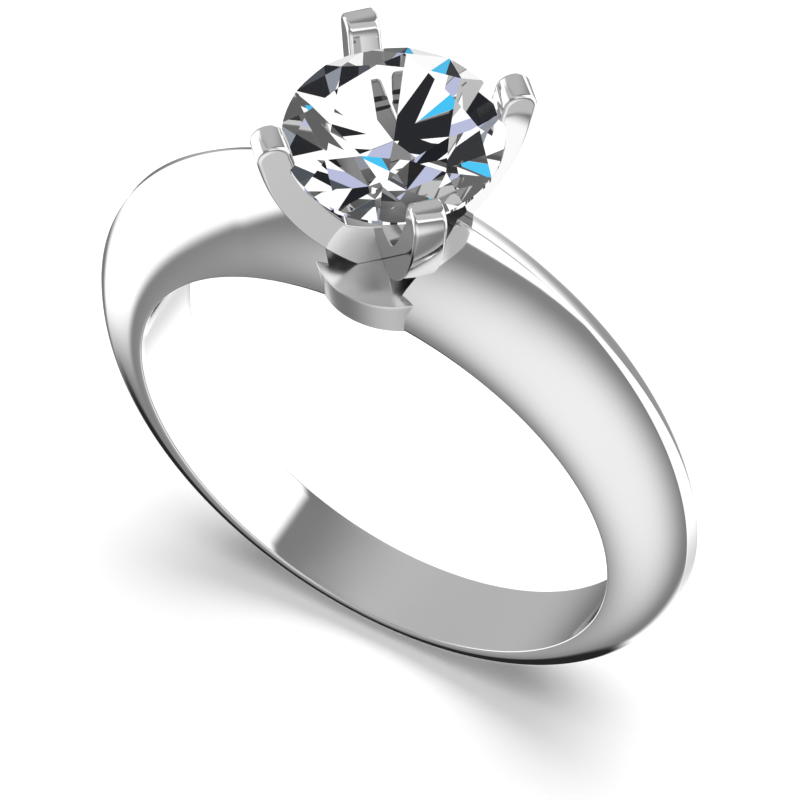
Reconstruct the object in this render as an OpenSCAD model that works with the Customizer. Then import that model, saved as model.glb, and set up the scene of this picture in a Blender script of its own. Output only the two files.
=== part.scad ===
// Four-prong solitaire engagement ring with a knife-edge shank.
// The origin is the centre of the finger hole. The hole runs along Y, and the stone is at +Z.

/* [Finger hole] */
// Inside diameter of the ring
hole_d = 16.4; // [15:0.1:18]

/* [Shank] */
// Radial thickness of the shank at its top, where the head stands
thickness_top = 4.0; // [3.7:0.05:4.2]
// Radial thickness at the shoulders, 60 degrees from the top
thickness_shoulder = 2.75; // [2.5:0.05:3]
// Radial thickness at the flanks, 120 degrees from the top
thickness_flank = 1.55; // [1.3:0.05:1.7]
// Radial thickness at the bottom
thickness_bottom = 1.0; // [0.9:0.05:1.2]
// Width across the finger at the top
width_top = 3.56; // [3.3:0.02:3.8]
// Width across the finger at the sides
width_side = 2.96; // [2.8:0.02:3.2]
// Width across the finger at the bottom
width_bottom = 2.6; // [2.4:0.02:2.8]
// Width of the flat outer land at the bottom
land_width = 1.2; // [0.8:0.05:1.4]
// Angle from the top at which the ridge starts to open into the land
land_start = 24; // [15:1:40]
// Angle that a side face turns through, from the ridge to the hole, at the top
bulge_top = 68; // [50:1:80]
// Angle that a side face turns through at the sides
bulge_side = 60; // [50:1:80]
// Angle that a side face turns through at the bottom
bulge_bottom = 78; // [50:1:80]

/* [Stone] */
// Diameter of the round brilliant
stone_d = 6.5; // [6.4:0.05:6.55]
// Height of the girdle's lower edge above the centre of the hole
girdle_z = 14.45; // [14.3:0.05:14.6]
// Thickness of the girdle at the main facets
girdle_t = 0.2; // [0.15:0.01:0.3]
// Width of the table as a share of the diameter
table_share = 0.57; // [0.53:0.01:0.62]
// Slope of the crown's kite facets
crown_angle = 34.5; // [33:0.5:36]
// Slope of the pavilion's main facets
pavilion_angle = 40.8; // [40.2:0.1:41.4]
// Length of the star facets as a share of the crown's width
star_share = 0.5; // [0.45:0.01:0.6]
// Length of the lower girdle facets as a share of the pavilion's radius
lower_share = 0.77; // [0.7:0.01:0.85]

/* [Head] */
// Height of the base's flat top above the centre of the hole
base_top_z = 9.5; // [9.4:0.05:9.6]
// Radius of the base at its flat top
base_top_r = 2.42; // [2.3:0.02:2.5]
// Taper of the base's wall, as radius lost for each millimetre down
base_taper = 0.13; // [0:0.01:0.2]
// Radius of the round end of each shank arm, which stands on the base's flat top
arm_end_r = 2.14; // [2.1:0.02:2.4]
// Width of a prong strip, along the stone's edge
strip_width = 1.0; // [0.8:0.05:1.1]
// Thickness of a prong, measured outward from the stone
strip_thickness = 1.05; // [0.95:0.05:1.15]
// Radius of the curve of a strip's outer edge
strip_curve_r = 10.1; // [10:0.1:10.3]
// Height of the lowest point inside the strip's U
strip_floor_z = 11; // [10.8:0.1:11.2]
// Height at which a claw's rounded tip is centred
claw_z = 15.17; // [15.1:0.01:15.25]

/* [Hidden] */
$fn = 96;

hole_r = hole_d / 2;
stone_r = stone_d / 2;

// Shank
stations = 72;          // sections round the shank
side_steps = 10;        // facets across one side face
ridge_flat = 0.03;      // half-width of the softened ridge
edge_height = 0.12;     // height of the bevel along the hole's edges
edge_lean = 0.4;        // bevel's run across for each millimetre towards the hole
bore_allowance = 0.5;   // depth that the bore cuts out of the swept blank

// Stone
crown_base_z = girdle_z + girdle_t;
table_r = stone_r * table_share;
table_z = crown_base_z + (stone_r - table_r) * tan(crown_angle);
star_in_r = table_r * cos(22.5);
star_r = star_in_r + star_share * (stone_r - star_in_r);
star_z = crown_base_z + (stone_r - star_r * cos(22.5)) * tan(crown_angle);
lower_r = stone_r * (1 - lower_share);
culet_z = girdle_z - stone_r * tan(pavilion_angle);
lower_z = girdle_z - (stone_r - lower_r * cos(22.5)) * tan(pavilion_angle);

// Head
claw_r = strip_thickness / 2;
claw_centre_x = 3.68;
curve_z = 16.75;        // height of the centres of the strip's curved edges
curve_x = sqrt(strip_curve_r * strip_curve_r - pow(curve_z - claw_z, 2)) - claw_centre_x - claw_r;
seat_gap = 0.01;        // clearance of the seats cut for the stone
cup_z = 13.9;           // height at which the U's round floor meets its arms
lap_z = (base_top_z + strip_floor_z) / 2;
blank = 10;

// A value that passes through four even stations from the top (0) to the bottom (180)
function through4(a, t0, t60, t120, t180) =
    (t0 + 2 * t60 + 2 * t120 + t180) / 6
    + (t0 + t60 - t120 - t180) / 3 * cos(a)
    + (t0 - t60 - t120 + t180) / 3 * cos(2 * a)
    + (t0 - 2 * t60 + 2 * t120 - t180) / 6 * cos(3 * a);

// A value that passes through three even stations: top, side and bottom
function through3(a, t0, t90, t180) =
    (t0 + 2 * t90 + t180) / 4 + (t0 - t180) / 2 * cos(a) + (t0 - 2 * t90 + t180) / 4 * cos(2 * a);

function ridge_r(a) =
    hole_r + through4(a, thickness_top, thickness_shoulder, thickness_flank, thickness_bottom);
function half_width(a) = through3(a, width_top, width_side, width_bottom) / 2;
function bulge(a) = through3(a, bulge_top, bulge_side, bulge_bottom);
function from_top(a) = abs(a > 180 ? a - 360 : a);
function half_land(a) =
    max(ridge_flat, land_width / 2 * sin(90 * max(0, (from_top(a) - land_start) / (180 - land_start))));

// One side face of a section as [across, out] points, an arc from the land's edge down to the hole
function side_face(a) =
    let (land = half_land(a), top = ridge_r(a),
         run = half_width(a) - land, drop = hole_r + edge_height - top,
         turn = bulge(a), first = atan2(drop, run) + turn / 2,
         radius = norm([run, drop]) / 2 / sin(turn / 2))
    [for (i = [0 : side_steps])
        let (now = first - turn * i / side_steps)
        [land + radius * (sin(first) - sin(now)), top + radius * (cos(now) - cos(first))]];

// A whole section, closed through the metal that the bore removes
function section(a) =
    let (face = side_face(a),
         lean = edge_lean * (edge_height + bore_allowance),
         foot = [[half_width(a) - lean, hole_r - bore_allowance]],
         right = concat(face, foot))
    concat([for (p = right) p], [for (i = [len(right) - 1 : -1 : 0]) [-right[i][0], right[i][1]]]);

module shank_blank() {
    sections = [for (s = [0 : stations - 1]) section(360 * s / stations)];
    ring = len(sections[0]);
    points = [for (s = [0 : stations - 1], p = sections[s])
        let (a = 360 * s / stations) [p[1] * sin(a), -p[0], p[1] * cos(a)]];
    faces = [for (s = [0 : stations - 1], i = [0 : ring - 1])
        let (here = s * ring, next = (s + 1) % stations * ring, j = (i + 1) % ring)
        each [[here + i, here + j, next + j], [here + i, next + j, next + i]]];
    polyhedron(points, faces);
}

function base_r(z) = base_top_r - base_taper * (base_top_z - z);

module base_cone(top_z) {
    bottom_z = hole_r - 1;
    translate([0, 0, bottom_z])
        cylinder(h = top_z - bottom_z, r1 = base_r(bottom_z), r2 = base_r(top_z));
}

module finger_bore() {
    rotate([90, 0, 0]) cylinder(h = blank, r = hole_r, center = true);
}

module shank() {
    color("gainsboro")
        difference() {
            shank_blank();
            finger_bore();
            base_cone(base_top_z);
            translate([0, 0, base_top_z - 0.01]) cylinder(h = thickness_top, r = arm_end_r);
            for (direction = [45, -45])
                strip_place(direction) strip_blank();
        }
}

module head_base() {
    color("silver")
        difference() {
            base_cone(base_top_z);
            finger_bore();
        }
}

// The space inside both mirrored arcs of one radius: the outline between a strip's curved edges
module between_arcs(radius) {
    intersection_for (side = [-1, 1])
        translate([side * curve_x, curve_z]) circle(radius);
}

module strip_blank() {
    intersection() {
        between_arcs(strip_curve_r);
        translate([-blank / 2, base_top_z]) square([blank, claw_z - base_top_z]);
    }
}

module strip_outline() {
    difference() {
        strip_blank();
        intersection() {
            between_arcs(strip_curve_r - strip_thickness);
            union() {
                translate([0, cup_z]) circle(cup_z - strip_floor_z);
                translate([-blank / 2, cup_z]) square([blank, blank]);
            }
        }
    }
    for (side = [-1, 1])
        translate([side * claw_centre_x, claw_z]) circle(claw_r);
}

module stone_envelope() {
    rotate_extrude()
        polygon([[0, culet_z], [stone_r + seat_gap, girdle_z], [stone_r + seat_gap, crown_base_z],
                 [table_r, table_z + seat_gap], [0, table_z + seat_gap]]);
}

module strip_place(direction) {
    rotate([0, 0, direction]) rotate([90, 0, 0])
        linear_extrude(strip_width, center = true) children();
}

// One U-shaped strip with its two claws. The lap is the slot where the two strips cross.
module prong_strip(direction, lap_from, lap_to) {
    difference() {
        strip_place(direction) strip_outline();
        stone_envelope();
        rotate([0, 0, direction])
            translate([-strip_width / 2, -strip_width, lap_from])
                cube([strip_width, 2 * strip_width, lap_to - lap_from]);
    }
}

module prong_strip_left_right() {
    color("lightgray") prong_strip(45, base_top_z - 1, lap_z);
}

module prong_strip_front_back() {
    color("darkgray") prong_strip(-45, lap_z, strip_floor_z + 1);
}

// Points at even angles round the stone's axis
function ring_of(count, turn, radius, z) =
    [for (k = [0 : count - 1]) let (a = turn + 360 * k / count) [radius * cos(a), radius * sin(a), z]];

// The stone's corners lie on six rings. Rings of 8 alternate between the mains' angles and half way.
module centre_diamond() {
    // first corner on each ring
    table = 0;
    star = 8;
    upper_edge = 16;
    lower_edge = 32;
    lower = 48;
    culet = 56;
    points = concat(ring_of(8, 0, table_r, table_z), ring_of(8, 22.5, star_r, star_z),
                    ring_of(16, 0, stone_r, crown_base_z), ring_of(16, 0, stone_r, girdle_z),
                    ring_of(8, 22.5, lower_r, lower_z), [[0, 0, culet_z]]);
    faces = concat(
        [[for (k = [7 : -1 : 0]) table + k]],
        [for (k = [0 : 7])
            let (next = (k + 1) % 8, last = (k + 7) % 8,
                 main = 2 * k, half = 2 * k + 1, next_main = 2 * next)
            each [
                [table + k, table + next, star + k],
                [table + k, star + k, upper_edge + main, star + last],
                [star + k, upper_edge + half, upper_edge + main],
                [star + k, upper_edge + next_main, upper_edge + half],
                [upper_edge + main, upper_edge + half, lower_edge + half, lower_edge + main],
                [upper_edge + half, upper_edge + next_main, lower_edge + next_main, lower_edge + half],
                [lower_edge + main, lower_edge + half, lower + k],
                [lower_edge + half, lower_edge + next_main, lower + k],
                [lower_edge + main, lower + k, culet, lower + last]
            ]]);
    color("aliceblue") polyhedron(points, faces);
}

shank();
head_base();
prong_strip_left_right();
prong_strip_front_back();
centre_diamond();
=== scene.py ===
# Four-prong solitaire engagement ring: the visual model.
import math

import bmesh
import bpy
from mathutils import Matrix, Vector


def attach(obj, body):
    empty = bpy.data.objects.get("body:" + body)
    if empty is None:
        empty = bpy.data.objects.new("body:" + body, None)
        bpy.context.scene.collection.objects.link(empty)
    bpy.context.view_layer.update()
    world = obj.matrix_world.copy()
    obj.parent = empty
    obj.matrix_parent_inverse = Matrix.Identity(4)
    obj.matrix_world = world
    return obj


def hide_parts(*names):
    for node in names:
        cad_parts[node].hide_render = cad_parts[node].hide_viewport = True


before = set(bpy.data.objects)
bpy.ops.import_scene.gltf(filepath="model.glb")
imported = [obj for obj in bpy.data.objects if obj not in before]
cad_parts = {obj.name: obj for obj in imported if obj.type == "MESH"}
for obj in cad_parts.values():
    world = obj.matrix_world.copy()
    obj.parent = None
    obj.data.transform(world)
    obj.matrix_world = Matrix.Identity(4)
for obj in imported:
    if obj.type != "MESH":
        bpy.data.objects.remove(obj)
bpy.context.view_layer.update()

# ---------------------------------------------------------------- sizes, in millimetres and degrees
MM = 0.001

HOLE_R = 8.2
THICKNESS = (4.0, 2.75, 1.55, 1.0)      # shank, radially, at 0, 60, 120 and 180 degrees from the top
WIDTH = (3.56, 2.96, 2.6)               # shank, across the finger, at 0, 90 and 180 degrees
BULGE = (68, 60, 78)                    # turn of a side face, at 0, 90 and 180 degrees
LAND_WIDTH = 1.2
LAND_START = 24
RIDGE_FLAT = 0.012
CREASE_ROUND = 0.02                     # radius along the land's and the ridge's edges
HOLE_ROUND = 0.05                       # radius along the hole's edges

STONE_R = 3.25
GIRDLE_Z = 14.45
GIRDLE_T = 0.2
TABLE_R = STONE_R * 0.57
CROWN_ANGLE = 34.5
PAVILION_ANGLE = 40.8
STAR_SHARE = 0.5
LOWER_SHARE = 0.77

BASE_TOP_Z = 9.5
BASE_TOP_R = 2.42
BASE_TAPER = 0.13
BASE_ROUND = 0.02
ARM_END_R = 2.14                        # round ends of the shank's arms, on the base's flat top

STRIP_WIDTH = 1.0
STRIP_THICKNESS = 1.05
STRIP_CURVE_R = 10.1
STRIP_FLOOR_Z = 11
CLAW_X = 3.68
CLAW_Z = 15.17
CURVE_Z = 16.75
CUP_Z = 13.9
CLAW_ROUND = 0.14                       # radius along a claw's edges
STRIP_ROUND = 0.04                      # radius along a strip's other edges
SEAT_GAP = 0.01

DIAMOND_IOR = 2.417
DIAMOND_SPREAD = (2.412, 2.417, 2.424)  # for red, green and blue
OUTER_MIRROR = 0.15                     # share kept of the stone's outer reflection
TRAPPED_FROM = 0.9                      # Fresnel share past which light stays inside the stone

FLOOR_Z = -HOLE_R - THICKNESS[3]        # the ring stands on the bottom of its shank
FLOOR_HALF = 3.0                        # half the floor's side, in metres

# ---------------------------------------------------------------- camera
CAMERA_AZIMUTH = math.radians(30.17)
CAMERA_ELEVATION = math.radians(53.31)
CAMERA_ROLL = math.radians(-0.32)
CAMERA_DISTANCE = 218.2
CAMERA_LENS = 320.4
CAMERA_ASIDE = (0.136, 1.021)


def make_camera():
    a, e, r = CAMERA_AZIMUTH, CAMERA_ELEVATION, CAMERA_ROLL
    back = Vector((math.sin(a) * math.cos(e), -math.cos(a) * math.cos(e), math.sin(e)))
    right = Vector((math.cos(a), math.sin(a), 0))
    up = back.cross(right)
    turned_right = right * math.cos(r) + up * math.sin(r)
    turned_up = up * math.cos(r) - right * math.sin(r)
    data = bpy.data.cameras.new("camera")
    data.lens = CAMERA_LENS
    data.sensor_width = 36
    data.clip_start = 0.01
    data.clip_end = 10
    cam = bpy.data.objects.new("camera", data)
    bpy.context.scene.collection.objects.link(cam)
    place = back * CAMERA_DISTANCE + turned_right * CAMERA_ASIDE[0] + turned_up * CAMERA_ASIDE[1]
    turn = Matrix((turned_right, turned_up, back)).transposed().to_4x4()
    cam.matrix_world = Matrix.Translation(place * MM) @ turn
    bpy.context.scene.camera = cam


make_camera()


# ---------------------------------------------------------------- mesh helpers
def piece_from(name, points, faces):
    """A linked object from points in millimetres."""
    mesh = bpy.data.meshes.new(name)
    mesh.from_pydata([Vector(p) * MM for p in points], [], faces)
    mesh.validate()
    bm = bmesh.new()
    bm.from_mesh(mesh)
    bmesh.ops.recalc_face_normals(bm, faces=bm.faces)
    bm.to_mesh(mesh)
    bm.free()
    mesh.polygons.foreach_set("use_smooth", [True] * len(mesh.polygons))
    piece = bpy.data.objects.new(name, mesh)
    bpy.context.scene.collection.objects.link(piece)
    return piece


def add_weighted_normals(piece):
    weighted = piece.modifiers.new("weighted_normals", "WEIGHTED_NORMAL")
    weighted.weight = 100
    weighted.keep_sharp = True


def grid_faces(rows, columns, close_columns):
    """Quads between points stored row after row."""
    across = columns if close_columns else columns - 1
    faces = []
    for i in range(rows - 1):
        for j in range(across):
            here, below, after = i * columns, (i + 1) * columns, (j + 1) % columns
            faces.append((here + j, here + after, below + after, below + j))
    return faces


def polar(radius, degrees, centre=(0, 0)):
    a = math.radians(degrees)
    return (centre[0] + radius * math.cos(a), centre[1] + radius * math.sin(a))


def arc(radius, start, end, steps, centre=(0, 0)):
    """Points on an arc, both ends included."""
    return [polar(radius, start + (end - start) * i / steps, centre) for i in range(steps + 1)]


# ---------------------------------------------------------------- shank
def through(values, a):
    """A value at a degrees from the top that passes through evenly spaced stations."""
    c = math.cos(math.radians(a))
    if len(values) == 3:
        t0, t90, t180 = values
        return (t0 + 2 * t90 + t180) / 4 + (t0 - t180) / 2 * c + (t0 - 2 * t90 + t180) / 4 * (2 * c * c - 1)
    t0, t60, t120, t180 = values
    return (
        (t0 + 2 * t60 + 2 * t120 + t180) / 6
        + (t0 + t60 - t120 - t180) / 3 * c
        + (t0 - t60 - t120 + t180) / 3 * (2 * c * c - 1)
        + (t0 - 2 * t60 + 2 * t120 - t180) / 6 * (4 * c**3 - 3 * c)
    )


def half_land(a):
    from_top = min(a, 360 - a)
    share = max(0, (from_top - LAND_START) / (180 - LAND_START))
    return max(RIDGE_FLAT, LAND_WIDTH / 2 * math.sin(math.radians(90 * share)))


def fillet(corner, heading_in, heading_out, radius, steps):
    """Points that round a corner, from one heading to the next, both clockwise in degrees."""
    turn = heading_in - heading_out
    back = radius * math.tan(math.radians(turn / 2))
    start = polar(-back, heading_in, corner)
    centre = polar(radius, heading_in - 90, start)
    return arc(radius, heading_in + 90, heading_out + 90, steps, centre)


SHANK_STEPS = 320
SIDE_STEPS = 36
CAP_STEPS = 12
END_SEARCH = (2.0, 45.0)                # the arms end between these angles from the top
END_TOLERANCE = 1e-4
CREASE_STEPS = 5
HOLE_STEPS = 7
LAND_STEPS = 3
BORE_STEPS = 6


def half_section(a):
    """The right half of a section as (across, out) points, from mid-land round to mid-bore."""
    land, top, width = half_land(a), HOLE_R + through(THICKNESS, a), through(WIDTH, a) / 2
    turn = through(BULGE, a)
    run, drop = width - land, HOLE_R - top
    first = math.degrees(math.atan2(drop, run)) + turn / 2
    last = first - turn
    radius = math.hypot(run, drop) / 2 / math.sin(math.radians(turn / 2))
    centre = polar(radius, first - 90, (land, top))
    crease = fillet((land, top), 0, first, CREASE_ROUND, CREASE_STEPS)
    edge = fillet((width, HOLE_R), last, -180, HOLE_ROUND, HOLE_STEPS)
    lead = math.degrees(math.hypot(crease[-1][0] - land, crease[-1][1] - top) / radius)
    tail = math.degrees(math.hypot(edge[0][0] - width, edge[0][1] - HOLE_R) / radius)
    side = arc(radius, first + 90 - lead, last + 90 + tail, SIDE_STEPS, centre)
    points = [(crease[0][0] * i / LAND_STEPS, top) for i in range(LAND_STEPS)]
    points += crease + side[1:-1] + edge
    points += [(edge[-1][0] * (1 - i / BORE_STEPS), HOLE_R) for i in range(1, BORE_STEPS + 1)]
    return points


def base_r(z):
    return BASE_TOP_R - BASE_TAPER * (BASE_TOP_Z - z)


def arm_end_r(z):
    return ARM_END_R if z > BASE_TOP_Z else base_r(z)


def on_ring(point, a, side=1):
    across, out = point
    return Vector((out * math.sin(math.radians(a)), side * across, out * math.cos(math.radians(a))))


def end_angle(line):
    """Where a lengthwise line of the shank ends at the head, in degrees from the top."""
    near, far = END_SEARCH
    while far - near > END_TOLERANCE:
        a = (near + far) / 2
        p = on_ring(half_section(a)[line], a)
        if math.hypot(p.x, p.y) < arm_end_r(p.z):
            near = a
        else:
            far = a
    return far


def make_shank():
    half = len(half_section(90))
    ends = [end_angle(line) for line in range(half)]
    columns = 2 * half - 2
    points = []
    for i in range(SHANK_STEPS + 1):
        row = []
        for line, end in enumerate(ends):
            a = end + (360 - 2 * end) * i / SHANK_STEPS
            row.append((half_section(a)[line], a))
        points += [on_ring(p, a) for p, a in row]
        points += [on_ring(p, a, -1) for p, a in row[-2:0:-1]]
    faces = grid_faces(SHANK_STEPS + 1, columns, True)
    # each end is closed by a patch that follows the base
    for start, side in ((0, 1), (SHANK_STEPS * columns, -1)):
        land = range(1, LAND_STEPS + 1)
        right_land = [start + line for line in reversed(land)]
        rows = [right_land + [start] + [start + columns - line for line in land]]
        for line in range(LAND_STEPS + 1, half):
            right = start + line
            left = start + columns - line
            row = [right]
            if line != half - 1:
                y, z = points[right].y, points[right].z
                for k in range(1, CAP_STEPS):
                    across = y * (1 - 2 * k / CAP_STEPS)
                    row.append(len(points))
                    points.append(Vector((side * math.sqrt(arm_end_r(z) ** 2 - across**2), across, z)))
                row.append(left)
            rows.append(row)
        for above, below in zip(rows, rows[1:]):
            longest = max(len(above), len(below))
            for k in range(longest - 1):
                corners = [above[min(k, len(above) - 1)], above[min(k + 1, len(above) - 1)]]
                corners += [below[min(k + 1, len(below) - 1)], below[min(k, len(below) - 1)]]
                faces.append(tuple(dict.fromkeys(corners)))
    shank = piece_from("shank_polished", points, faces)
    shank.data.set_sharp_from_angle(angle=SHARP_ANGLE)
    return shank


# ---------------------------------------------------------------- head
BASE_AROUND = 144
BASE_TOP_RINGS = (0.25, 0.5, 0.75)      # as shares of the flat top's radius
BASE_FOOT_PASSES = 12                   # repeats that settle where the wall meets the finger hole
BASE_WALL_STEPS = 10
BASE_INNER_STEPS = 12
SEAT_AROUND = 128
ROUND_STEPS = 5
CURVE_STEPS = 40
TIP_STEPS = 20
INNER_STEPS = 30
CUP_STEPS = 14
TIP_BLEND = 0.1                         # a strip's inner curve stops this far below the claw's centre
CLAW_SOFT_FROM, CLAW_SOFT_TO = 13.2, 14.6   # heights over which the edges grow softer
SHARP_ANGLE = math.radians(40)
STRIP_SHARP_ANGLE = math.radians(30)


def make_base():
    """The collet: a cone with a flat top, whose underside follows the finger hole."""
    wall_heading = -90 - math.degrees(math.atan(BASE_TAPER))
    top_edge = fillet((BASE_TOP_R, BASE_TOP_Z), 0, wall_heading, BASE_ROUND, ROUND_STEPS)
    rings = [(r * top_edge[0][0], BASE_TOP_Z) for r in BASE_TOP_RINGS] + top_edge
    points = []
    for r, z in rings:
        for k in range(BASE_AROUND):
            x, y = polar(r, 360 * k / BASE_AROUND)
            points.append((x, y, z))
    columns = BASE_AROUND
    wall_start = rings[-1]
    for i in range(1, BASE_WALL_STEPS + 1):
        for k in range(columns):
            turn = 360 * k / columns
            low = HOLE_R
            for _ in range(BASE_FOOT_PASSES):
                low = math.sqrt(HOLE_R**2 - (base_r(low) * math.cos(math.radians(turn))) ** 2)
            z = wall_start[1] + (low - wall_start[1]) * i / BASE_WALL_STEPS
            x, y = polar(base_r(z), turn)
            points.append((x, y, z))
    rim = points[-columns:]
    for i in range(1, BASE_INNER_STEPS):
        share = 1 - i / BASE_INNER_STEPS
        for x, y, _ in rim:
            points.append((x * share, y * share, math.sqrt(HOLE_R**2 - (x * share) ** 2)))
    rows = len(points) // columns
    faces = grid_faces(rows, columns, True)
    top, bottom = len(points), len(points) + 1
    points += [(0, 0, BASE_TOP_Z), (0, 0, HOLE_R)]
    last = (rows - 1) * columns
    for k in range(columns):
        faces.append((top, k, (k + 1) % columns))
        faces.append((bottom, last + (k + 1) % columns, last + k))
    base = piece_from("head_base_polished", points, faces)
    base.data.set_sharp_from_angle(angle=SHARP_ANGLE)
    return base


def curve_centre():
    """Distance of the strips' curve centres beyond the axis."""
    return math.sqrt(STRIP_CURVE_R**2 - (CURVE_Z - CLAW_Z) ** 2) - CLAW_X - STRIP_THICKNESS / 2


def strip_outline():
    """The right half of a strip's outline, as (out, height) points from its bottom to the U's floor."""
    aside = curve_centre()
    outer_r, inner_r = STRIP_CURVE_R, STRIP_CURVE_R - STRIP_THICKNESS
    low = math.degrees(math.asin((BASE_TOP_Z - CURVE_Z) / outer_r))
    high = math.degrees(math.asin((CLAW_Z - CURVE_Z) / outer_r))
    points = arc(outer_r, low, high, CURVE_STEPS, (-aside, CURVE_Z))
    points += arc(STRIP_THICKNESS / 2, 0, 180, TIP_STEPS, (CLAW_X, CLAW_Z))[1:]
    cup_r = CUP_Z - STRIP_FLOOR_Z
    gap = math.hypot(aside, CURVE_Z - CUP_Z)
    # where the inner curve meets the U's round floor: two circles' crossing
    along = (inner_r**2 - cup_r**2 + gap**2) / (2 * gap)
    rise = math.sqrt(inner_r**2 - along**2)
    out, down = aside / gap, (CUP_Z - CURVE_Z) / gap
    meet = (-aside + out * along + down * rise, CURVE_Z + down * along - out * rise)
    inner_high = math.degrees(math.asin((CLAW_Z - TIP_BLEND - CURVE_Z) / inner_r))
    inner_low = math.degrees(math.atan2(meet[1] - CURVE_Z, meet[0] + aside))
    points += arc(inner_r, inner_high, inner_low, INNER_STEPS, (-aside, CURVE_Z))
    cup_start = math.degrees(math.atan2(meet[1] - CUP_Z, meet[0]))
    points += arc(cup_r, cup_start, -90, CUP_STEPS, (0, CUP_Z))[1:]
    return points


def seat_cutter():
    """The stone's envelope with a little clearance."""
    crown_z = GIRDLE_Z + GIRDLE_T
    table_z = crown_z + (STONE_R - TABLE_R) * math.tan(math.radians(CROWN_ANGLE))
    culet_z = GIRDLE_Z - STONE_R * math.tan(math.radians(PAVILION_ANGLE))
    points = []
    wide = STONE_R + SEAT_GAP
    for r, z in ((wide, GIRDLE_Z), (wide, crown_z), (TABLE_R, table_z + SEAT_GAP)):
        for k in range(SEAT_AROUND):
            x, y = polar(r, 360 * k / SEAT_AROUND)
            points.append((x, y, z))
    faces = grid_faces(3, SEAT_AROUND, True)
    faces.append(tuple(range(2 * SEAT_AROUND, 3 * SEAT_AROUND)))
    points.append((0, 0, culet_z))
    faces += [(3 * SEAT_AROUND, k, (k + 1) % SEAT_AROUND) for k in range(SEAT_AROUND)]
    return piece_from("seat_cutter", points, faces)


def lap_cutter(direction, lap_from, lap_to):
    """The slot where the two strips cross."""
    half = STRIP_WIDTH / 2
    flat = [(-half, -2 * half), (half, -2 * half), (half, 2 * half), (-half, 2 * half)]
    spin = Matrix.Rotation(math.radians(direction), 3, "Z")
    points = [spin @ Vector((x, y, z)) for z in (lap_from, lap_to) for x, y in flat]
    faces = grid_faces(2, 4, True) + [(0, 1, 2, 3), (4, 5, 6, 7)]
    return piece_from("lap_cutter", points, faces)


def bake_modifiers(piece):
    """Replaces a piece's mesh by its shape after its modifiers, and removes their cutters."""
    bpy.context.view_layer.update()
    graph = bpy.context.evaluated_depsgraph_get()
    shaped = bpy.data.meshes.new_from_object(piece.evaluated_get(graph))
    cutters = [m.object for m in piece.modifiers if m.type == "BOOLEAN"]
    piece.modifiers.clear()
    piece.data = shaped
    for cutter in cutters:
        bpy.data.objects.remove(cutter)


def make_strip(name, direction, lap_from, lap_to):
    """A U-shaped strip whose rounded ends are two claws. The lap is the slot where the strips cross."""
    right = strip_outline()
    outline = right + [(-x, z) for x, z in right[-2::-1]]
    bm = bmesh.new()
    ring = [bm.verts.new(Vector((x, -STRIP_WIDTH / 2, z)) * MM) for x, z in outline]
    face = bm.faces.new(ring)
    made = bmesh.ops.extrude_face_region(bm, geom=[face])
    moved = [v for v in made["geom"] if isinstance(v, bmesh.types.BMVert)]
    bmesh.ops.translate(bm, vec=Vector((0, STRIP_WIDTH, 0)) * MM, verts=moved)
    bmesh.ops.recalc_face_normals(bm, faces=bm.faces)
    weights = bm.edges.layers.float.new("bevel_weight_edge")
    for edge in bm.edges:
        ends = [v.co for v in edge.verts]
        if abs(ends[0].y - ends[1].y) < 1e-7:
            height = (ends[0].z + ends[1].z) / 2 / MM
            share = min(1, max(0, (height - CLAW_SOFT_FROM) / (CLAW_SOFT_TO - CLAW_SOFT_FROM)))
            edge[weights] = STRIP_ROUND / CLAW_ROUND + (1 - STRIP_ROUND / CLAW_ROUND) * share
    spin = Matrix.Rotation(math.radians(direction), 3, "Z")
    bmesh.ops.rotate(bm, verts=bm.verts, cent=(0, 0, 0), matrix=spin)
    mesh = bpy.data.meshes.new(name)
    bm.to_mesh(mesh)
    bm.free()
    mesh.polygons.foreach_set("use_smooth", [True] * len(mesh.polygons))
    strip = bpy.data.objects.new(name, mesh)
    bpy.context.scene.collection.objects.link(strip)
    bevel = strip.modifiers.new("rounded_edges", "BEVEL")
    bevel.limit_method = "WEIGHT"
    bevel.width = CLAW_ROUND * MM
    bevel.segments = ROUND_STEPS
    bevel.use_clamp_overlap = False
    for cutter in (seat_cutter(), lap_cutter(direction, lap_from, lap_to)):
        cut = strip.modifiers.new("cut", "BOOLEAN")
        cut.operation = "DIFFERENCE"
        cut.solver = "EXACT"
        cut.object = cutter
    bake_modifiers(strip)
    strip.data.set_sharp_from_angle(angle=STRIP_SHARP_ANGLE)
    return strip


# ---------------------------------------------------------------- diamond
GIRDLE_AROUND = 192
MAIN_TIP = 0.004                        # the mains stop this far inside the girdle's corner points


def cut_facet(bm, turn, out, height, slope, downward=False):
    """Grinds one facet: a plane through a point out from the axis, which falls outward at a slope."""
    lean = math.radians(slope)
    normal = Vector((math.sin(lean), 0, math.cos(lean) * (-1 if downward else 1)))
    spin = Matrix.Rotation(math.radians(turn), 3, "Z")
    cut = bmesh.ops.bisect_plane(
        bm,
        geom=bm.verts[:] + bm.edges[:] + bm.faces[:],
        dist=1e-9,
        plane_co=spin @ Vector((out, 0, height)) * MM,
        plane_no=spin @ normal,
        clear_outer=True,
    )
    rim = [e for e in cut["geom_cut"] if isinstance(e, bmesh.types.BMEdge) and e.is_boundary]
    if rim:
        bmesh.ops.contextual_create(bm, geom=rim)


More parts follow.
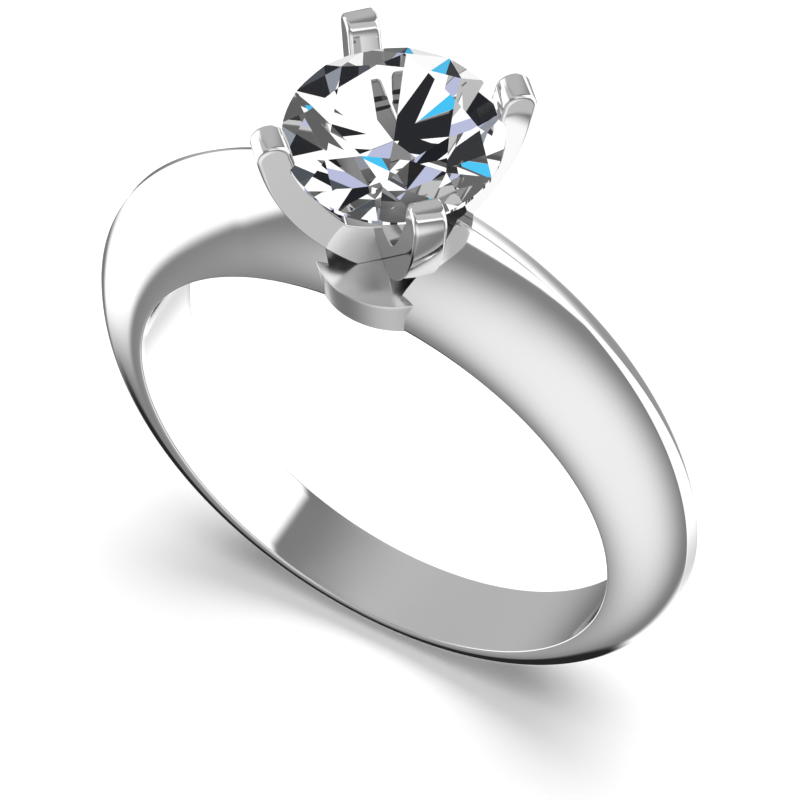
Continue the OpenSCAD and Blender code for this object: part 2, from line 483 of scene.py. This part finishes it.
def make_diamond():
    crown_z = GIRDLE_Z + GIRDLE_T
    crown_rise = math.tan(math.radians(CROWN_ANGLE))
    table_z = crown_z + (STONE_R - TABLE_R) * crown_rise
    half, quarter = math.cos(math.radians(22.5)), math.cos(math.radians(11.25))
    star_in = TABLE_R * half
    star_r = star_in + STAR_SHARE * (STONE_R - star_in)
    star_z = crown_z + (STONE_R - star_r * half) * crown_rise
    star_angle = math.degrees(math.atan2(table_z - star_z, star_r - star_in))
    upper_angle = math.degrees(math.atan2(star_z - crown_z, (STONE_R - star_r) * quarter))
    lower_r = STONE_R * (1 - LOWER_SHARE)
    lower_depth = (STONE_R - lower_r * half) * math.tan(math.radians(PAVILION_ANGLE))
    lower_angle = math.degrees(math.atan2(lower_depth, (STONE_R - lower_r) * quarter))
    culet_z = GIRDLE_Z - STONE_R * math.tan(math.radians(PAVILION_ANGLE))
    middle = Vector((0, 0, (table_z + culet_z) / 2))
    bm = bmesh.new()
    bmesh.ops.create_cone(
        bm, cap_ends=True, segments=GIRDLE_AROUND, radius1=STONE_R * MM, radius2=STONE_R * MM,
        depth=(table_z - culet_z) * MM, matrix=Matrix.Translation(middle * MM),
    )
    for k in range(16):
        turn = 22.5 * k + 11.25
        cut_facet(bm, turn, STONE_R * quarter, crown_z, upper_angle)
        cut_facet(bm, turn, STONE_R * quarter, GIRDLE_Z, lower_angle, downward=True)
    for k in range(8):
        cut_facet(bm, 45 * k, STONE_R - MAIN_TIP, crown_z, CROWN_ANGLE)
        cut_facet(bm, 45 * k, STONE_R - MAIN_TIP, GIRDLE_Z, PAVILION_ANGLE, downward=True)
        cut_facet(bm, 45 * k + 22.5, star_r, star_z - MAIN_TIP / 2, star_angle)
    bmesh.ops.dissolve_degenerate(bm, dist=1e-7, edges=bm.edges)
    bmesh.ops.recalc_face_normals(bm, faces=bm.faces)
    mesh = bpy.data.meshes.new("centre_diamond_faceted")
    bm.to_mesh(mesh)
    bm.free()
    stone = bpy.data.objects.new("centre_diamond_faceted", mesh)
    bpy.context.scene.collection.objects.link(stone)
    return stone


# ---------------------------------------------------------------- materials
def new_material(name):
    material = bpy.data.materials.new(name)
    material.use_nodes = True
    tree = material.node_tree
    tree.nodes.clear()
    return material, tree, tree.nodes.new("ShaderNodeOutputMaterial")


def noise(tree, scale, detail, roughness=0.5):
    where = tree.nodes.new("ShaderNodeTexCoord")
    node = tree.nodes.new("ShaderNodeTexNoise")
    node.inputs["Scale"].default_value = scale
    node.inputs["Detail"].default_value = detail
    node.inputs["Roughness"].default_value = roughness
    tree.links.new(where.outputs["Object"], node.inputs["Vector"])
    return node.outputs["Fac"]


def mapped(tree, value, low, high):
    node = tree.nodes.new("ShaderNodeMapRange")
    node.inputs["From Min"].default_value = 0.3
    node.inputs["From Max"].default_value = 0.7
    node.inputs["To Min"].default_value = low
    node.inputs["To Max"].default_value = high
    tree.links.new(value, node.inputs["Value"])
    return node.outputs["Result"]


def white_gold(name, roughness, low_roughness=None, low_z=0):
    """Polished white gold with a drifting tint. Its polish varies and may be softer below a height."""
    material, tree, out = new_material(name)
    shader = tree.nodes.new("ShaderNodeBsdfPrincipled")
    shader.inputs["Metallic"].default_value = 1.0
    tint = tree.nodes.new("ShaderNodeValToRGB")
    tint.color_ramp.elements[0].position = 0.35
    tint.color_ramp.elements[0].color = (0.90, 0.90, 0.905, 1)
    tint.color_ramp.elements[1].position = 0.65
    tint.color_ramp.elements[1].color = (0.925, 0.925, 0.925, 1)
    tree.links.new(noise(tree, 120, 2), tint.inputs["Fac"])
    tree.links.new(tint.outputs["Color"], shader.inputs["Base Color"])
    polish = mapped(tree, noise(tree, 900, 4), roughness * 0.85, roughness * 1.15)
    if low_roughness:
        place = tree.nodes.new("ShaderNodeSeparateXYZ")
        tree.links.new(tree.nodes.new("ShaderNodeTexCoord").outputs["Object"], place.inputs[0])
        depth = tree.nodes.new("ShaderNodeMapRange")
        depth.inputs["From Min"].default_value = (low_z + 0.02) * MM
        depth.inputs["From Max"].default_value = (low_z + 0.01) * MM
        depth.inputs["To Min"].default_value = 0
        depth.inputs["To Max"].default_value = low_roughness
        tree.links.new(place.outputs["Z"], depth.inputs["Value"])
        softer = tree.nodes.new("ShaderNodeMath")
        softer.operation = "MAXIMUM"
        tree.links.new(polish, softer.inputs[0])
        tree.links.new(depth.outputs["Result"], softer.inputs[1])
        polish = softer.outputs[0]
    tree.links.new(polish, shader.inputs["Roughness"])
    tree.links.new(shader.outputs["BSDF"], out.inputs["Surface"])
    return material


def diamond_material():
    """Clear diamond. Light enters, mirrors inside past the critical angle, and leaves split by colour."""
    material, tree, out = new_material("diamond_clear")
    link = tree.links.new

    def bend(ior, colour=(1, 1, 1, 1)):
        node = tree.nodes.new("ShaderNodeBsdfRefraction")
        node.inputs["Color"].default_value = colour
        node.inputs["IOR"].default_value = ior
        node.inputs["Roughness"].default_value = 0.0
        return node.outputs["BSDF"]

    def blend(share, a, b):
        node = tree.nodes.new("ShaderNodeMixShader")
        link(share, node.inputs[0])
        link(a, node.inputs[1])
        link(b, node.inputs[2])
        return node.outputs["Shader"]

    def mirror(level):
        node = tree.nodes.new("ShaderNodeBsdfAnisotropic")
        node.inputs["Color"].default_value = (level, level, level, 1)
        node.inputs["Roughness"].default_value = 0.0
        return node.outputs["BSDF"]

    fresnel = tree.nodes.new("ShaderNodeFresnel")
    fresnel.inputs["IOR"].default_value = DIAMOND_IOR
    trapped = tree.nodes.new("ShaderNodeMath")
    trapped.operation = "GREATER_THAN"
    trapped.inputs[1].default_value = TRAPPED_FROM
    link(fresnel.outputs["Fac"], trapped.inputs[0])
    leaving = None
    for colour, ior in zip(((1, 0, 0, 1), (0, 1, 0, 1), (0, 0, 1, 1)), DIAMOND_SPREAD):
        part = bend(ior, colour)
        if leaving is None:
            leaving = part
        else:
            add = tree.nodes.new("ShaderNodeAddShader")
            link(leaving, add.inputs[0])
            link(part, add.inputs[1])
            leaving = add.outputs["Shader"]
    entering = blend(fresnel.outputs["Fac"], bend(DIAMOND_IOR), mirror(OUTER_MIRROR))
    inside = blend(trapped.outputs["Value"], leaving, mirror(1))
    side = tree.nodes.new("ShaderNodeNewGeometry")
    link(blend(side.outputs["Backfacing"], entering, inside), out.inputs["Surface"])
    return material


def floor_material():
    material, tree, out = new_material("floor_white")
    shader = tree.nodes.new("ShaderNodeBsdfPrincipled")
    shader.inputs["Roughness"].default_value = 1.0
    shader.inputs["Specular IOR Level"].default_value = 0.0
    tint = tree.nodes.new("ShaderNodeValToRGB")
    tint.color_ramp.elements[0].color = (0.945, 0.945, 0.945, 1)
    tint.color_ramp.elements[1].color = (0.955, 0.955, 0.955, 1)
    tree.links.new(noise(tree, 30, 2), tint.inputs["Fac"])
    tree.links.new(tint.outputs["Color"], shader.inputs["Base Color"])
    tree.links.new(shader.outputs["BSDF"], out.inputs["Surface"])
    return material


# ---------------------------------------------------------------- build
lap_z = (BASE_TOP_Z + STRIP_FLOOR_Z) / 2
shank = make_shank()
base = make_base()
strip_left_right = make_strip("prong_strip_left_right_polished", 45, BASE_TOP_Z - 1, lap_z)
strip_front_back = make_strip("prong_strip_front_back_polished", -45, lap_z, STRIP_FLOOR_Z + 1)
diamond = make_diamond()

band_gold = white_gold("white_gold_band", 0.06)
head_gold = white_gold("white_gold_head", 0.04, 0.24, BASE_TOP_Z)
clear = diamond_material()

for piece, node, slot, material in (
    (shank, "shank", "band_gold", band_gold),
    (base, "head_base", "head_gold", head_gold),
    (strip_left_right, "prong_strip_left_right", "head_gold", head_gold),
    (strip_front_back, "prong_strip_front_back", "head_gold", head_gold),
    (diamond, "centre_diamond", "diamond", clear),
):
    piece.data.materials.append(material)
    if piece is not diamond:
        add_weighted_normals(piece)
    else:
        piece.visible_glossy = False
    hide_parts(node)
    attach(piece, "root")

# ---------------------------------------------------------------- stage
floor_mesh = bpy.data.meshes.new("floor")
quadrants = ((-1, -1), (1, -1), (1, 1), (-1, 1))
floor_corners = [(x * FLOOR_HALF, y * FLOOR_HALF, FLOOR_Z * MM) for x, y in quadrants]
floor_mesh.from_pydata(floor_corners, [], [(0, 1, 2, 3)])
floor = bpy.data.objects.new("floor", floor_mesh)
bpy.context.scene.collection.objects.link(floor)
floor.data.materials.append(floor_material())
floor.visible_glossy = False
floor.visible_transmission = False


# ---------------------------------------------------------------- studio
def toward(azimuth, elevation):
    """A unit vector. Azimuth 0 is +X and 90 is +Y."""
    a, e = math.radians(azimuth), math.radians(elevation)
    return (math.cos(a) * math.cos(e), math.sin(a) * math.cos(e), math.sin(e))


CARD_SCALE = 26.0
CARD_TONES = (                          # share of the cards from which each tone starts
    (0.0, (0.012, 0.013, 0.018)),
    (0.24, (0.09, 0.10, 0.12)),
    (0.32, (0.33, 0.36, 0.42)),
    (0.38, (0.58, 0.62, 0.86)),
    (0.47, (1.3, 1.3, 1.3)),
    (0.978, (0.06, 0.66, 1.1)),
)
FRONT_WALL = (0.24, 0.93)               # tones of the walls, from their dim to their bright side
BACK_WALL = (0.20, 0.49)
PANEL = 1.15
GAP_OVERHEAD = 0.54
LOW_PATCH = 0.32                        # a grey patch low at the back
UNDER = 0.02                            # straight down
DEEP_MIRRORING = 0.03                   # after several reflections from metal to metal
METAL_PAST_STONE_DIM = 0.4              # share lost by metal that is seen through the stone
LAMP = (0.05, 5.0)                      # what lights the floor, from the lamp's edge to its middle


class Nodes:
    """Short names for the nodes that the studio's light is built from."""

    def __init__(self, tree):
        self.tree = tree
        where = tree.nodes.new("ShaderNodeTexCoord")
        self.direction = where.outputs["Generated"]

    def plug(self, value, socket):
        if isinstance(value, bpy.types.NodeSocket):
            self.tree.links.new(value, socket)
        else:
            socket.default_value = value

    def maths(self, operation, a, b):
        node = self.tree.nodes.new("ShaderNodeMath")
        node.operation = operation
        self.plug(a, node.inputs[0])
        self.plug(b, node.inputs[1])
        return node.outputs[0]

    def along(self, axis):
        """How far the direction points along an axis, from -1 to 1 for a unit axis."""
        node = self.tree.nodes.new("ShaderNodeVectorMath")
        node.operation = "DOT_PRODUCT"
        self.plug(self.direction, node.inputs[0])
        self.plug(axis, node.inputs[1])
        return node.outputs["Value"]

    def ramp(self, value, start, end, low=0.0, high=1.0):
        """Smoothly from low at start to high at end. Start may be above end."""
        node = self.tree.nodes.new("ShaderNodeMapRange")
        node.interpolation_type = "SMOOTHSTEP"
        for name, number in (("From Min", start), ("From Max", end), ("To Min", low), ("To Max", high)):
            node.inputs[name].default_value = number
        self.plug(value, node.inputs["Value"])
        return node.outputs["Result"]

    def both(self, *masks):
        total = masks[0]
        for mask in masks[1:]:
            total = self.maths("MULTIPLY", total, mask)
        return total

    def mix(self, share, a, b):
        node = self.tree.nodes.new("ShaderNodeMix")
        node.data_type = "RGBA"
        self.plug(share, node.inputs[0])
        for value, socket in ((a, node.inputs[6]), (b, node.inputs[7])):
            if isinstance(value, (int, float)):
                value = (value, value, value, 1)
            self.plug(value, socket)
        return node.outputs[2]


def metal_surroundings(n):
    """What the metal mirrors: grey walls, and white panels overhead, low at the back and at the left."""
    x, y, z = n.along((1, 0, 0)), n.along((0, 1, 0)), n.along((0, 0, 1))
    front_aside = n.maths("MAXIMUM", n.along(toward(24, 0)), 0.0)
    narrowing = n.maths("MULTIPLY", n.maths("MULTIPLY", front_aside, front_aside), -0.3)
    front = n.ramp(n.maths("ADD", n.along(toward(-66, -24)), narrowing), 0.5, 1.0, *FRONT_WALL)
    back = n.ramp(n.along(toward(135, 25)), 0.4, 0.9, *BACK_WALL)
    wall = n.mix(n.ramp(y, -0.2, 0.2), front, back)
    ceiling = n.both(
        n.ramp(n.along((0, 1, 0.97)), -0.01, 0.02),
        n.ramp(n.along((1, -0.427, -0.464)), -0.07, 0.02),
        n.ramp(z, -0.06, -0.02),
    )
    low_back = n.both(n.ramp(y, 0.0, 0.18), n.ramp(x, -0.45, -0.25), n.ramp(z, 0.08, 0.02))
    left = n.both(
        n.ramp(n.along((-0.786, 0.595, 0.167)), -0.03, 0.08),
        n.ramp(y, 0.3, 0.15),
        n.ramp(z, -0.86, -0.76),
        n.ramp(z, 0.6, 0.4),
    )
    white = n.maths("MAXIMUM", n.maths("MAXIMUM", ceiling, low_back), left)
    lit = n.mix(white, wall, PANEL)
    overhead_gap = n.both(
        n.ramp(n.along((0, 1, 0.55)), -0.06, 0.08),
        n.ramp(y, 0.05, -0.05),
        n.ramp(z, 0.3, 0.4),
    )
    lit = n.mix(overhead_gap, lit, GAP_OVERHEAD)
    lit = n.mix(n.ramp(n.along(toward(84, -38)), 0.891, 0.985), lit, LOW_PATCH)
    return n.mix(n.ramp(n.along((-0.25, 0.06, -0.966)), 0.94, 0.965), lit, UNDER)


def diamond_surroundings(n):
    """What the stone gathers: a sky of small cards in white, dark, lilac and cyan."""
    cards = n.tree.nodes.new("ShaderNodeTexVoronoi")
    cards.inputs["Scale"].default_value = CARD_SCALE
    n.plug(n.direction, cards.inputs["Vector"])
    pick = n.tree.nodes.new("ShaderNodeSeparateColor")
    n.plug(cards.outputs["Color"], pick.inputs["Color"])
    tones = n.tree.nodes.new("ShaderNodeValToRGB")
    tones.color_ramp.interpolation = "CONSTANT"
    stops = tones.color_ramp.elements
    while len(stops) < len(CARD_TONES):
        stops.new(0.5)
    for stop, (share, colour) in zip(stops, CARD_TONES):
        stop.position = share
        stop.color = (*colour, 1)
    n.plug(pick.outputs["Red"], tones.inputs["Fac"])
    return tones.outputs["Color"]


# rays from the metal, from the stone and from the floor each get their own surroundings
world = bpy.data.worlds.new("studio")
bpy.context.scene.world = world
world.use_nodes = True
tree = world.node_tree
tree.nodes.clear()
out = tree.nodes.new("ShaderNodeOutputWorld")
background = tree.nodes.new("ShaderNodeBackground")
n = Nodes(tree)
ray = tree.nodes.new("ShaderNodeLightPath")
mirrored = n.mix(n.ramp(ray.outputs["Glossy Depth"], 2.0, 3.5), metal_surroundings(n), DEEP_MIRRORING)
soft_lamp = n.ramp(n.along(toward(90, 80)), 0.7, 1.0, *LAMP)
past_stone = n.maths("GREATER_THAN", ray.outputs["Transmission Depth"], 0.5)
mirrored = n.mix(n.maths("MULTIPLY", past_stone, METAL_PAST_STONE_DIM), mirrored, 0.0)
seen = n.mix(ray.outputs["Is Glossy Ray"], soft_lamp, mirrored)
straight_from_stone = n.both(past_stone, ray.outputs["Is Singular Ray"])
seen = n.mix(straight_from_stone, seen, diamond_surroundings(n))
tree.links.new(seen, background.inputs["Color"])
tree.links.new(background.outputs["Background"], out.inputs["Surface"])

scene = bpy.context.scene
scene.view_settings.view_transform = "Standard"
scene.cycles.max_bounces = 24
scene.cycles.transmission_bounces = 24
scene.cycles.glossy_bounces = 12
